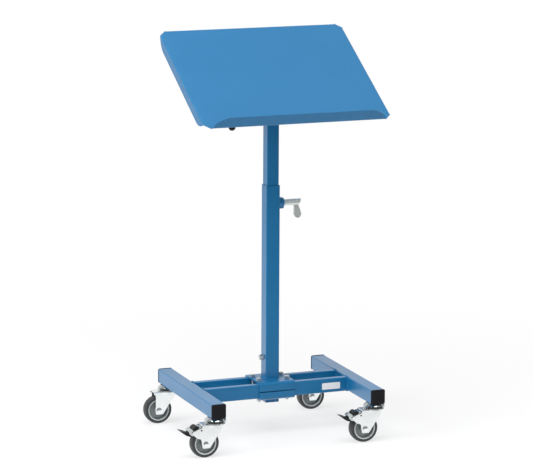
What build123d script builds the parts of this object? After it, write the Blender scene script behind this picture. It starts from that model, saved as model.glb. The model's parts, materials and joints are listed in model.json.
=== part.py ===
from build123d import *
import math
import os

# A height-adjustable stand on four casters, with a tilting tray for material.
# The origin is on the floor under the column. X runs right, Y to the rear, Z up.
# All sizes are in millimetres and all angles in degrees.

# Gaps that more than one piece uses
overrun = 2.0
slip_gap = 0.3
seat_gap = 0.2
pivot_gap = 0.05
turn = 360.0

# Base frame
base_width = 510.0
rail_length = 440.0
rail_size = 40.0
rail_wall = 2.0
rail_corner = 3.0
crossbar_width = 20.0
crossbar_corner = 3.0
crossbar_pitch = 86.0
cap_flange = 3.0
cap_margin = 1.0
cap_corner = 5.0
cap_edge = 1.0
cap_plug_depth = 12.0

# Casters
caster_height = 110.0
caster_inset = 25.0
caster_trail = 33.0
wheel_radius = 40.0
tyre_width = 26.0
tyre_depth = 9.0
tyre_shoulder = 3.0
tread_drop = 1.0
rim_inset = 0.5
rim_depth = 4.2
rim_bevel = 1.4
web_thickness = 8.0
hub_radius = 11.0
hub_gap = 0.4
sleeve_radius = 6.0
axle_radius = 4.0
axle_flats = 13.0
axle_head_height = 5.3
axle_nut_height = 6.5
axle_overhang = 2.0
fork_gap = 33.0
fork_sheet = 2.5
fork_tip_half = 10.5
fork_tip_drop = 11.5
fork_tip_corner = 3.5
fork_front_reach = 15.0
fork_front_drop = 10.0
fork_top_drop = 2.0
fork_ear_reach = 4.5
fork_ear_depth = 8.0
crown_radius = 28.0
crown_depth = 12.0
crown_sheet = 2.5
crown_shoulder = 4.0
crown_gap = 1.5
kingpin_radius = 6.0
kingpin_gap = 0.1
kingpin_head_radius = 11.0
kingpin_head_height = 3.5
stem_radius = 6.0
stem_length = 17.0
stem_nut_flats = 19.0
stem_nut_height = 10.0
race_top_radius = 22.0
race_radius = 30.5
race_height = 12.5
race_slope = 7.0
race_waist = 1.0
race_wall = 3.0
race_ceiling = 3.5
ring_bore = 14.0
ring_radius = 25.0
ring_top_radius = 19.0
ring_step = 5.0

# Brakes of the two front casters, as places behind the swivel axis and above the floor
brake_skin_end = 43.0
cheek_top = (45.5, 85.5)
cheek_brow = (57.0, 82.5)
cheek_end = (74.0, 75.0)
cheek_chin = (71.4, 69.3)
cheek_knee = (60.0, 58.5)
cheek_notch = (47.5, 54.0)
cheek_round = 2.0
notch_round = 5.0
spot_hole = (46.8, 79.6)
spot_hole_radius = 2.5
brake_pivot = (65.0, 73.0)
brake_pin_radius = 2.5
lever_lip_end = (45.0, 89.5)
lever_lip = (50.5, 89.5)
lever_seat_in = (53.5, 84.5)
lever_seat_out = (70.0, 79.0)
lever_lug_top = (73.5, 85.0)
lever_lug_end = (82.5, 78.5)
lever_lug_low = (81.0, 73.0)
lever_throat = (76.0, 67.5)
lever_chin = (71.0, 65.0)
lever_belly = (64.0, 67.0)
lever_rise = (50.0, 77.5)
lever_back = (45.0, 82.0)
lever_width = 31.0
lever_sheet = 1.6
lever_round = 1.5
pad_back = (54.0, 88.5)
pad_rise = (57.0, 91.0)
pad_top = (62.0, 91.0)
pad_fall = (67.5, 87.5)
pad_front = (70.5, 83.0)
blade_tip = (107.5, 81.5)
blade_top = (95.0, 78.5)
blade_belly = (88.5, 67.3)
blade_heel = (75.0, 62.5)
pedal_width = 28.0
pedal_round = 2.5
leaf_width = 22.0
leaf_sheet = 1.5
leaf_root = 29.5
leaf_bend = 41.0
leaf_tread_gap = 2.5
leaf_start_angle = 108.0
leaf_end_angle = 126.0

# Clamp saddle that carries the column on the crossbars
saddle_length = 105.0
saddle_plate = 5.0
saddle_gap = 3.0
saddle_split = 19.0
bolt_pitch_x = 84.0
bolt_pitch_y = 48.0
bolt_radius = 4.0
bolt_hole_radius = 4.5
bolt_flats = 13.0
bolt_head_height = 5.3
bolt_nut_height = 6.5
bolt_overhang = 3.0
washer_radius = 8.0
washer_sheet = 1.6

# Column and mast
column_size = 40.0
column_wall = 2.0
column_corner = 3.0
column_above_rails = 555.0
column_below_saddle = 17.0
mast_size = 35.0
mast_wall = 2.0
mast_corner = 3.0
mast_foot_height = 443.0
plug_flange = 3.0
plug_depth = 16.0
plug_side_gap = 0.15
plug_corner = 1.5
stop_height = 216.0
stop_radius = 4.0
stop_reach = 10.0
stop_flats = 13.0
stop_head_height = 5.3
stop_nut_height = 6.5
stop_head_gap = 0.6

# Height clamp on the right of the column
clamp_below_top = 52.5
clamp_nut_flats = 30.0
clamp_nut_height = 16.0
clamp_nut_bevel = 2.0
spindle_radius = 8.0
spindle_neck_radius = 5.5
spindle_neck_length = 30.0
pad_radius = 6.0
pad_thickness = 2.7
pad_hole_gap = 0.3
grip_hub_radius = 9.0
grip_hub_length = 52.0
grip_hub_start_gap = 0.5
grip_slice = 8.5
grip_neck_width = 11.0
grip_bulb_radius = 10.7
grip_bulb_drop = 35.0
grip_thickness = 8.5
grip_recess_depth = 1.2
grip_recess_length = 16.0
grip_recess_width = 6.0
grip_edge = 1.0

# Tray
tray_width = 545.0
tray_depth = 436.0
tray_sheet = 2.0
tray_bend = 4.0
tray_chamfer = 20.0
tray_tilt = 30.0
tray_flange = 28.0
tray_lip = 36.0
tray_shoulder = 57.0
tilt_axis_height = 973.0
tray_above_axis = 50.0

# Tilt joint between mast and tray
head_length = 104.0
end_plate = 5.0
bracket_sheet = 5.0
bracket_length = 150.0
bracket_band = 12.0
bracket_boss_radius = 24.0
slot_radius = 42.0
slot_margin = 8.0
slot_gap = 0.3
slot_spare_angle = 0.6
tilt_steep = 45.0
guide_angle = 180.0
guide_pin_radius = 4.0
guide_pin_margin = 6.0
rod_radius = 6.0
rod_washer_radius = 12.0
rod_washer_sheet = 2.5
rod_nut_flats = 19.0
rod_nut_height = 10.0
rod_overhang = 4.0
lock_hub_length = 26.0
lock_hub_radius = 13.0
lock_hub_end_radius = 10.5
lock_hub_round = 3.0
lock_hub_cap = 5.0
lever_from_hub_end = 11.0
lever_seat = 8.5
lever_length = 107.0
lever_splay = 22.0
lever_lean = 7.7
lever_root_radius = 5.5
lever_end_radius = 4.0
knob_radius = 10.0
knob_collar_radius = 5.5
knob_collar_length = 12.0
lever_spigot_radius = 3.0
lever_spigot_depth = 4.0

# Heights and places that follow from the sizes above
rail_top = caster_height + rail_size
rail_mid = caster_height + rail_size / 2
rail_x = base_width / 2 - rail_size / 2
caster_y = rail_length / 2 - caster_inset
crossbar_length = base_width - 2 * rail_size
crossbar_y = crossbar_pitch / 2
crossbar_face = crossbar_y + crossbar_width / 2
saddle_inner = crossbar_face + slip_gap
saddle_outer = saddle_inner + saddle_plate
saddle_top = rail_top + saddle_plate
saddle_bottom = caster_height - saddle_plate
saddle_split_height = caster_height + saddle_split
column_top = rail_top + column_above_rails
column_bottom = saddle_bottom - column_below_saddle
column_face = column_size / 2
mast_face = mast_size / 2
mast_top = tilt_axis_height - mast_face
clamp_height = column_top - clamp_below_top
race_bottom = caster_height - race_height
crown_top = race_bottom - crown_gap
crown_under = crown_top - crown_sheet - fork_top_drop
fork_top = crown_top - fork_top_drop
fork_half = fork_gap / 2 + fork_sheet


def facing_right(x, y, z):
    """A plane that looks along +X, its own x along +Y and its own y upwards."""
    return Plane(origin=(x, y, z), x_dir=(0, 1, 0), z_dir=(1, 0, 0))


def facing_front(x, y, z):
    """A plane that looks along -Y, its own x along +X and its own y upwards."""
    return Plane(origin=(x, y, z), x_dir=(1, 0, 0), z_dir=(0, -1, 0))


def block(x_low, x_high, y_low, y_high, mode=Mode.ADD):
    """A rectangle between two corners, in the sketch that is open."""
    with Locations(((x_low + x_high) / 2, (y_low + y_high) / 2)):
        Rectangle(x_high - x_low, y_high - y_low, mode=mode)


def tube_section(size, corner, wall):
    """A hollow square with rounded corners, in the sketch that is open."""
    RectangleRounded(size, size, corner)
    RectangleRounded(size - 2 * wall, size - 2 * wall, corner - wall, mode=Mode.SUBTRACT)


def hexagon(flats, bore=0):
    """A hexagon of a given size across flats, with a bore if one is given."""
    RegularPolygon(flats / 2, 6, major_radius=False)
    if bore:
        Circle(bore, mode=Mode.SUBTRACT)


def keep(piece, name):
    """Names a finished piece and writes it to its own file."""
    piece.part.label = name
    export_step(piece.part, f"parts/{name}.step")


os.makedirs("parts", exist_ok=True)


# Side rails, with a hole in the floor of the tube for each caster stem
for side, x in (("left", -rail_x), ("right", rail_x)):
    with BuildPart() as rail:
        with BuildSketch(facing_front(x, rail_length / 2, rail_mid)):
            tube_section(rail_size, rail_corner, rail_wall)
        extrude(amount=rail_length)
        with BuildSketch(Plane.XY.offset(caster_height - overrun)):
            with Locations((x, -caster_y), (x, caster_y)):
                Circle(stem_radius + seat_gap)
        extrude(amount=rail_wall + 2 * overrun, mode=Mode.SUBTRACT)
    keep(rail, f"{side}_rail")

# Crossbars, welded between the rails with their tops flush
for side, y in (("front", -crossbar_y), ("rear", crossbar_y)):
    with BuildPart() as crossbar:
        with BuildSketch(facing_right(-crossbar_length / 2, y, rail_mid)):
            RectangleRounded(crossbar_width, rail_size, crossbar_corner)
            RectangleRounded(
                crossbar_width - 2 * rail_wall,
                rail_size - 2 * rail_wall,
                crossbar_corner - rail_wall,
                mode=Mode.SUBTRACT,
            )
        extrude(amount=crossbar_length)
    keep(crossbar, f"{side}_crossbar")

# End caps: a rounded flange with a hollow plug pushed into the rail
with BuildPart() as end_caps:
    for x in (-rail_x, rail_x):
        for y, way in ((-rail_length / 2, 1), (rail_length / 2, -1)):
            mouth = facing_front(x, y, rail_mid)
            plug_size = rail_size - 2 * rail_wall - 2 * seat_gap
            with BuildSketch(mouth):
                RectangleRounded(plug_size, plug_size, rail_corner - rail_wall + seat_gap)
                RectangleRounded(
                    plug_size - 2 * rail_wall,
                    plug_size - 2 * rail_wall,
                    rail_corner - rail_wall,
                    mode=Mode.SUBTRACT,
                )
            extrude(amount=-way * cap_plug_depth)
            with BuildSketch(mouth):
                RectangleRounded(rail_size + 2 * cap_margin, rail_size + 2 * cap_margin, cap_corner)
            extrude(amount=way * cap_flange)
    outer_faces = end_caps.faces().filter_by(Axis.Y).group_by(Axis.Y)
    chamfer(outer_faces[0].edges(), cap_edge)
    outer_faces = end_caps.faces().filter_by(Axis.Y).group_by(Axis.Y)
    chamfer(outer_faces[-1].edges(), cap_edge)
keep(end_caps, "end_caps")

# Nuts welded inside the rails, one over each caster stem
with BuildPart() as stem_nuts:
    with BuildSketch(Plane.XY.offset(caster_height + rail_wall)):
        with GridLocations(2 * rail_x, 2 * caster_y, 2, 2):
            RegularPolygon(stem_nut_flats / 2, 6, major_radius=False)
            Circle(stem_radius + pivot_gap, mode=Mode.SUBTRACT)
    extrude(amount=stem_nut_height)
keep(stem_nuts, "stem_nuts")

# Rings of the swivel bearings, between each caster's upper race and its crown
with BuildPart() as ball_races:
    for x in (-rail_x, rail_x):
        for y in (-caster_y, caster_y):
            with BuildSketch(facing_front(x, y, 0)):
                with BuildLine():
                    Polyline(
                        (ring_bore, crown_top + slip_gap),
                        (ring_radius, crown_top + slip_gap),
                        (ring_radius, crown_top + ring_step),
                        (ring_top_radius, caster_height - race_ceiling),
                        (ring_bore, caster_height - race_ceiling),
                        close=True,
                    )
                make_face()
            revolve(axis=Axis((x, y, 0), (0, 0, 1)))
keep(ball_races, "ball_races")

# Clamp saddles, folded plates that grip both crossbars from above and below
saddle_start = facing_right(-saddle_length / 2, 0, 0)
for name, low, high, fold, inner_low, inner_high in (
    ("saddle_upper", saddle_split_height + saddle_gap / 2, saddle_top, -1, -overrun, rail_top),
    ("saddle_lower", saddle_bottom, saddle_split_height - saddle_gap / 2, 0, caster_height, overrun),
):
    with BuildPart() as saddle:
        with BuildSketch(saddle_start) as outside:
            block(-saddle_outer, saddle_outer, low, high)
            fillet(outside.vertices().group_by(Axis.Y)[fold], crossbar_corner + saddle_plate)
        extrude(amount=saddle_length)
        with BuildSketch(saddle_start) as inside:
            bottom = low + inner_low if fold else inner_low
            top = inner_high if fold else high + inner_high
            block(-saddle_inner, saddle_inner, bottom, top)
            fillet(inside.vertices().group_by(Axis.Y)[fold], crossbar_corner)
        extrude(amount=saddle_length, mode=Mode.SUBTRACT)
        with BuildSketch(Plane.XY.offset(low - overrun)):
            hole = column_size + 2 * seat_gap
            RectangleRounded(hole, hole, column_corner + seat_gap)
            with GridLocations(bolt_pitch_x, bolt_pitch_y, 2, 2):
                Circle(bolt_hole_radius)
        extrude(amount=high - low + 2 * overrun, mode=Mode.SUBTRACT)
    keep(saddle, name)

# Saddle bolts, with their heads on top
head_seat = saddle_top + washer_sheet
nut_seat = saddle_bottom - washer_sheet
bolt_end = nut_seat - bolt_nut_height - bolt_overhang
with BuildPart() as saddle_bolts:
    with BuildSketch(Plane.XY.offset(bolt_end)):
        with GridLocations(bolt_pitch_x, bolt_pitch_y, 2, 2):
            Circle(bolt_radius)
    extrude(amount=head_seat - bolt_end)
    with BuildSketch(Plane.XY.offset(head_seat)):
        with GridLocations(bolt_pitch_x, bolt_pitch_y, 2, 2):
            RegularPolygon(bolt_flats / 2, 6, major_radius=False)
    extrude(amount=bolt_head_height)
keep(saddle_bolts, "saddle_bolts")

with BuildPart() as saddle_washers:
    for height in (saddle_top, nut_seat):
        with BuildSketch(Plane.XY.offset(height)):
            with GridLocations(bolt_pitch_x, bolt_pitch_y, 2, 2):
                Circle(washer_radius)
                Circle(bolt_radius + seat_gap, mode=Mode.SUBTRACT)
        extrude(amount=washer_sheet)
keep(saddle_washers, "saddle_washers")

with BuildPart() as saddle_nuts:
    with BuildSketch(Plane.XY.offset(nut_seat - bolt_nut_height)):
        with GridLocations(bolt_pitch_x, bolt_pitch_y, 2, 2):
            RegularPolygon(bolt_flats / 2, 6, major_radius=False)
            Circle(bolt_radius + pivot_gap, mode=Mode.SUBTRACT)
    extrude(amount=bolt_nut_height)
keep(saddle_nuts, "saddle_nuts")

# Column, with a hole on the left for the stop screw and one on the right for the clamp
with BuildPart() as column:
    with BuildSketch(Plane.XY.offset(column_bottom)):
        tube_section(column_size, column_corner, column_wall)
    extrude(amount=column_top - column_bottom)
    with BuildSketch(facing_right(-column_face - overrun, 0, stop_height)):
        Circle(stop_radius + pivot_gap)
    extrude(amount=column_wall + 2 * overrun, mode=Mode.SUBTRACT)
    with BuildSketch(facing_right(column_face - column_wall - overrun, 0, clamp_height)):
        Circle(pad_radius + pad_hole_gap)
    extrude(amount=column_wall + 2 * overrun, mode=Mode.SUBTRACT)
keep(column, "column")

# Stop screw that the mast comes down on, and its lock nut
with BuildPart() as stop_nut:
    with BuildSketch(facing_right(-column_face - stop_nut_height, 0, stop_height)):
        hexagon(stop_flats, stop_radius + pivot_gap)
    extrude(amount=stop_nut_height)
keep(stop_nut, "stop_nut")

stop_head_seat = -column_face - stop_nut_height - stop_head_gap
with BuildPart() as stop_screw:
    with BuildSketch(facing_right(stop_head_seat, 0, stop_height)):
        Circle(stop_radius)
    extrude(amount=-stop_reach - stop_head_seat)
    with BuildSketch(facing_right(stop_head_seat - stop_head_height, 0, stop_height)):
        hexagon(stop_flats)
    extrude(amount=stop_head_height)
keep(stop_screw, "stop_screw")

# Nut welded on the column for the height clamp, bevelled towards its outer face
with BuildPart() as clamp_nut:
    with BuildSketch(facing_right(column_face, 0, clamp_height)):
        hexagon(clamp_nut_flats, spindle_radius + pivot_gap)
    extrude(amount=clamp_nut_height)
    rim_edges = clamp_nut.faces().sort_by(Axis.X)[-1].outer_wire().edges()
    chamfer(rim_edges, clamp_nut_bevel)
keep(clamp_nut, "clamp_nut")

# Height clamp: brass pad, spindle and cast grip, all on one axis
pad_start = mast_face + slip_gap
spindle_start = pad_start + pad_thickness
grip_start = column_face + clamp_nut_height + grip_hub_start_gap
grip_end = grip_start + grip_hub_length
with BuildPart() as pressure_pad:
    with BuildSketch(facing_right(pad_start, 0, clamp_height)):
        Circle(pad_radius)
    extrude(amount=pad_thickness)
keep(pressure_pad, "pressure_pad")

with BuildPart() as clamp_spindle:
    with BuildSketch(facing_right(spindle_start, 0, clamp_height)):
        Circle(spindle_radius)
    extrude(amount=grip_start - spindle_start)
    with BuildSketch(facing_right(grip_start, 0, clamp_height)):
        Circle(spindle_neck_radius)
    extrude(amount=spindle_neck_length)
keep(clamp_spindle, "clamp_spindle")

neck_left = grip_end - grip_slice - grip_neck_width
bulb_x = neck_left + grip_bulb_radius
with BuildPart() as clamp_lever:
    with BuildSketch(facing_front(0, 0, clamp_height)):
        with Locations((bulb_x, -grip_bulb_drop)):
            Circle(grip_bulb_radius)
        block(neck_left, neck_left + grip_neck_width, -grip_hub_radius, -grip_hub_radius / 2)
        make_hull()
    extrude(amount=grip_thickness / 2, both=True)
    chamfer(clamp_lever.faces().filter_by(Axis.Y).edges(), grip_edge)
    with BuildSketch(facing_right(grip_start, 0, clamp_height)):
        Circle(grip_hub_radius)
    extrude(amount=grip_hub_length)
    chamfer(clamp_lever.faces().sort_by(Axis.X)[0].edges(), grip_edge)
    with BuildSketch(facing_front(0, 0, clamp_height)):
        with BuildLine():
            Polyline(
                (grip_end, grip_hub_radius),
                (grip_end - grip_slice, -grip_hub_radius - overrun),
                (grip_end + overrun, -grip_hub_radius - overrun),
                (grip_end + overrun, grip_hub_radius),
                close=True,
            )
        make_face()
    extrude(amount=grip_hub_radius + overrun, both=True, mode=Mode.SUBTRACT)
    with BuildSketch(facing_front(0, -grip_thickness / 2, clamp_height)):
        with Locations((bulb_x, -grip_bulb_drop)):
            SlotOverall(grip_recess_length, grip_recess_width, rotation=turn / 4)
    extrude(amount=-grip_recess_depth, mode=Mode.SUBTRACT)
    with BuildSketch(facing_right(grip_start, 0, clamp_height)):
        Circle(spindle_neck_radius + pivot_gap)
    extrude(amount=spindle_neck_length + seat_gap, mode=Mode.SUBTRACT)
keep(clamp_lever, "clamp_lever")

# Mast: inner tube, foot plug, cross tube on top and its end plates
with BuildPart() as mast_tube:
    with BuildSketch(Plane.XY.offset(mast_foot_height)):
        tube_section(mast_size, mast_corner, mast_wall)
    extrude(amount=mast_top - mast_foot_height)
keep(mast_tube, "mast_tube")

with BuildPart() as mast_plug:
    plug_side = column_size - 2 * column_wall - 2 * plug_side_gap
    with BuildSketch(Plane.XY.offset(mast_foot_height - plug_flange)):
        RectangleRounded(plug_side, plug_side, plug_corner)
    extrude(amount=plug_flange)
    with BuildSketch(Plane.XY.offset(mast_foot_height)):
        inner_side = mast_size - 2 * mast_wall - 2 * seat_gap
        RectangleRounded(inner_side, inner_side, plug_corner)
    extrude(amount=plug_depth)
keep(mast_plug, "mast_plug")

with BuildPart() as cross_tube:
    with BuildSketch(facing_right(-head_length / 2, 0, tilt_axis_height)):
        tube_section(mast_size, mast_corner, mast_wall)
    extrude(amount=head_length)
keep(cross_tube, "cross_tube")

guide = math.radians(guide_angle)
guide_spot = (slot_radius * math.cos(guide), slot_radius * math.sin(guide))
with BuildPart() as end_plates:
    for x in (-head_length / 2 - end_plate, head_length / 2):
        with BuildSketch(facing_right(x, 0, tilt_axis_height)):
            RectangleRounded(mast_size, mast_size, mast_corner)
            with Locations(guide_spot):
                Circle(guide_pin_radius + guide_pin_margin)
            make_hull()
            Circle(rod_radius + pivot_gap, mode=Mode.SUBTRACT)
            with Locations(guide_spot):
                Circle(guide_pin_radius + pivot_gap, mode=Mode.SUBTRACT)
        extrude(amount=end_plate)
keep(end_plates, "end_plates")

# Guide pins through the end plates and the curved slots of the bracket
head_face = head_length / 2 + end_plate
cheek_face = head_face + slip_gap + bracket_sheet
with BuildPart() as guide_pins:
    for way in (-1, 1):
        pin_start = facing_right(way * head_length / 2, 0, tilt_axis_height)
        with BuildSketch(pin_start):
            with Locations(guide_spot):
                Circle(guide_pin_radius)
        extrude(amount=way * (cheek_face + slip_gap - head_length / 2))
        with BuildSketch(facing_right(way * (cheek_face + slip_gap), 0, tilt_axis_height)):
            with Locations(guide_spot):
                Circle(guide_pin_radius + rod_washer_sheet)
        extrude(amount=way * rod_washer_sheet)
keep(guide_pins, "guide_pins")

# Clamp rod that the tray tilts on, with its washers and nut
washer_start = cheek_face + slip_gap
washer_end = washer_start + rod_washer_sheet
hub_start = washer_end + seat_gap
hub_end = hub_start + lock_hub_length
rod_left = -(hub_end - lock_hub_cap - seat_gap)
rod_right = washer_end + rod_nut_height + rod_overhang
with BuildPart() as clamp_rod:
    with BuildSketch(facing_right(rod_left, 0, tilt_axis_height)):
        Circle(rod_radius)
    extrude(amount=rod_right - rod_left)
keep(clamp_rod, "clamp_rod")

with BuildPart() as rod_washers:
    for x in (-washer_end, washer_start):
        with BuildSketch(facing_right(x, 0, tilt_axis_height)):
            Circle(rod_washer_radius)
            Circle(rod_radius + pivot_gap, mode=Mode.SUBTRACT)
        extrude(amount=rod_washer_sheet)
keep(rod_washers, "rod_washers")

with BuildPart() as rod_nut:
    with BuildSketch(facing_right(washer_end, 0, tilt_axis_height)):
        hexagon(rod_nut_flats, rod_radius + pivot_gap)
    extrude(amount=rod_nut_height)
keep(rod_nut, "rod_nut")

# Tray: one folded sheet with a lip in front and flanges on the other three sides
tilt = math.radians(tray_tilt)
up_slope = Vector(0, math.cos(tilt), math.sin(tilt))
off_tray = Vector(0, -math.sin(tilt), math.cos(tilt))
across = Vector(1, 0, 0)
tilt_axis = Vector(0, 0, tilt_axis_height)
tray_top = tilt_axis + off_tray * tray_above_axis
tray_under = tray_top - off_tray * tray_sheet
half_width = tray_width / 2
half_depth = tray_depth / 2
folds = (
    (tray_top - across * half_width, up_slope, -across, half_depth - tray_chamfer, tray_flange),
    (tray_top + across * half_width, -up_slope, across, half_depth - tray_chamfer, tray_flange),
    (tray_top + up_slope * half_depth, across, up_slope, half_width - tray_chamfer, tray_flange),
    (tray_under - up_slope * half_depth, across, -up_slope, half_width - tray_chamfer, tray_lip),
)
with BuildPart() as tray:
    with BuildSketch(Plane(origin=tray_under, x_dir=across, z_dir=off_tray)):
        short_x, short_y = half_width - tray_chamfer, half_depth - tray_chamfer
        with BuildLine():
            Polyline(
                (half_width, -short_y),
                (half_width, short_y),
                (short_x, half_depth),
                (-short_x, half_depth),
                (-half_width, short_y),
                (-half_width, -short_y),
                (-short_x, -half_depth),
                (short_x, -half_depth),
                close=True,
            )
        make_face()
        for way in (-1, 1):
            with Locations((way * (half_width - tray_bend / 2), 0)):
                Rectangle(tray_bend, 2 * short_y, mode=Mode.SUBTRACT)
            with Locations((0, way * (half_depth - tray_bend / 2))):
                Rectangle(2 * short_x, tray_bend, mode=Mode.SUBTRACT)
    extrude(amount=tray_sheet)
    for edge, along, outward, half, depth in folds:
        run = math.sqrt(tray_shoulder**2 - (tray_shoulder - depth + tray_bend) ** 2)
        rise = tray_bend - depth + tray_shoulder
        middle = (math.atan2(rise, run) + math.pi / 2) / 2
        arc_x = half - run + tray_shoulder * math.cos(middle)
        arc_y = depth - tray_shoulder + tray_shoulder * math.sin(middle)
        with BuildSketch(Plane(origin=edge, x_dir=along, z_dir=outward)):
            with BuildLine():
                Line((-half, tray_bend), (half, tray_bend))
                ThreePointArc((half, tray_bend), (arc_x, arc_y), (half - run, depth))
                Line((half - run, depth), (run - half, depth))
                ThreePointArc((run - half, depth), (-arc_x, arc_y), (-half, tray_bend))
            make_face()
        extrude(amount=-tray_sheet)
        with BuildSketch(Plane(origin=edge + along * half, x_dir=outward, z_dir=-along)):
            with Locations((-tray_bend, tray_bend)):
                Circle(tray_bend)
                Circle(tray_bend - tray_sheet, mode=Mode.SUBTRACT)
            block(-tray_bend, 0, 0, tray_bend, mode=Mode.INTERSECT)
        extrude(amount=2 * half)
keep(tray, "tray")

# Bracket under the tray: a folded channel with a curved slot in each cheek
cheek_inner = head_face + slip_gap
cheek_plane = Plane(origin=tilt_axis - across * (cheek_face + overrun), x_dir=up_slope, z_dir=across)
bracket_top = tray_above_axis - tray_sheet
tilt_travel = tilt_steep
slot_start = guide_angle - tilt_steep - slot_spare_angle
with BuildPart() as tray_bracket:
    channel_end = Plane(origin=tilt_axis + up_slope * bracket_length / 2, x_dir=across, z_dir=-up_slope)
    with BuildSketch(channel_end) as outside:
        block(-cheek_face, cheek_face, -slot_radius, bracket_top)
        fillet(outside.vertices().group_by(Axis.Y)[-1], 2 * bracket_sheet)
    extrude(amount=bracket_length)
    with BuildSketch(channel_end) as inside:
        block(-cheek_inner, cheek_inner, -slot_radius - overrun, bracket_top - bracket_sheet)
        fillet(inside.vertices().group_by(Axis.Y)[-1], bracket_sheet)
    extrude(amount=bracket_length, mode=Mode.SUBTRACT)
    with BuildSketch(cheek_plane):
        block(-bracket_length / 2, bracket_length / 2, bracket_top - bracket_band, bracket_top)
        Circle(bracket_boss_radius)
        with Locations(guide_spot):
            Circle(guide_pin_radius + slot_gap + slot_margin)
        make_hull()
    extrude(amount=2 * (cheek_face + overrun), mode=Mode.INTERSECT)
    with BuildSketch(cheek_plane):
        Circle(rod_radius + pivot_gap)
        with BuildLine(mode=Mode.PRIVATE) as slot_path:
            CenterArc((0, 0), slot_radius, slot_start, tilt_travel + 2 * slot_spare_angle)
        SlotArc(slot_path.edges()[0], 2 * (guide_pin_radius + slot_gap))
    extrude(amount=2 * (cheek_face + overrun), mode=Mode.SUBTRACT)
keep(tray_bracket, "tray_bracket")

# Tilt lock: hub on the clamp rod, splayed lever and ball knob
splay = math.radians(lever_splay)
lean = math.radians(lever_lean)
lever_way = Vector(
    -math.sin(splay),
    -math.cos(splay) * math.sin(lean),
    -math.cos(splay) * math.cos(lean),
)
lever_foot = tilt_axis - across * (hub_end - lever_from_hub_end)
collar_start = lever_length - knob_radius - knob_collar_length
with BuildPart() as lever_hub:
    with BuildSketch(facing_front(0, 0, tilt_axis_height)) as half_section:
        with BuildLine():
            Polyline(
                (-hub_start, 0),
                (-hub_start, lock_hub_radius),
                (-hub_end, lock_hub_end_radius),
                (-hub_end, 0),
                close=True,
            )
        make_face()
        fillet(half_section.vertices().group_by(Axis.X)[0].sort_by(Axis.Y)[-1], lock_hub_round)
    revolve(axis=Axis((0, 0, tilt_axis_height), (1, 0, 0)))
    with BuildSketch(facing_right(-hub_start, 0, tilt_axis_height)):
        Circle(rod_radius + pivot_gap)
    extrude(amount=lock_hub_cap - lock_hub_length, mode=Mode.SUBTRACT)
    with BuildSketch(Plane(origin=lever_foot + lever_way * lever_seat, z_dir=lever_way)):
        Circle(lever_root_radius + pivot_gap)
    extrude(amount=lock_hub_radius, mode=Mode.SUBTRACT)
keep(lever_hub, "lever_hub")

with BuildPart() as lever_rod:
    with BuildSketch(Plane(origin=lever_foot + lever_way * (lever_seat + seat_gap), z_dir=lever_way)):
        Circle(lever_root_radius)
    with BuildSketch(Plane(origin=lever_foot + lever_way * collar_start, z_dir=lever_way)):
        Circle(lever_end_radius)
    loft()
    with BuildSketch(Plane(origin=lever_foot + lever_way * collar_start, z_dir=lever_way)):
        Circle(lever_spigot_radius)
    extrude(amount=knob_collar_length + lever_spigot_depth)
keep(lever_rod, "lever_rod")

with BuildPart() as ball_knob:
    with BuildSketch(Plane(origin=lever_foot + lever_way * collar_start, z_dir=lever_way)):
        Circle(knob_collar_radius)
    extrude(amount=knob_collar_length + knob_radius)
    with Locations(Location(lever_foot + lever_way * lever_length)):
        Sphere(knob_radius)
    with BuildSketch(Plane(origin=lever_foot + lever_way * collar_start, z_dir=lever_way)):
        Circle(lever_spigot_radius + pivot_gap)
    extrude(amount=knob_collar_length + lever_spigot_depth + seat_gap, mode=Mode.SUBTRACT)
keep(ball_knob, "ball_knob")


def behind(spot):
    """A point given as distance behind the swivel axis and height, in the caster's side view."""
    return (-spot[0], spot[1])


def corner_at(sketch, spot):
    """The corner of an open sketch that lies nearest to a point of the side view."""
    return sketch.vertices().sort_by_distance(Vector(*behind(spot)))[0]


def side_outline(*spots):
    """A closed face through points of the side view, in the sketch that is open."""
    Polygon(*(behind(spot) for spot in spots), align=None)


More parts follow.
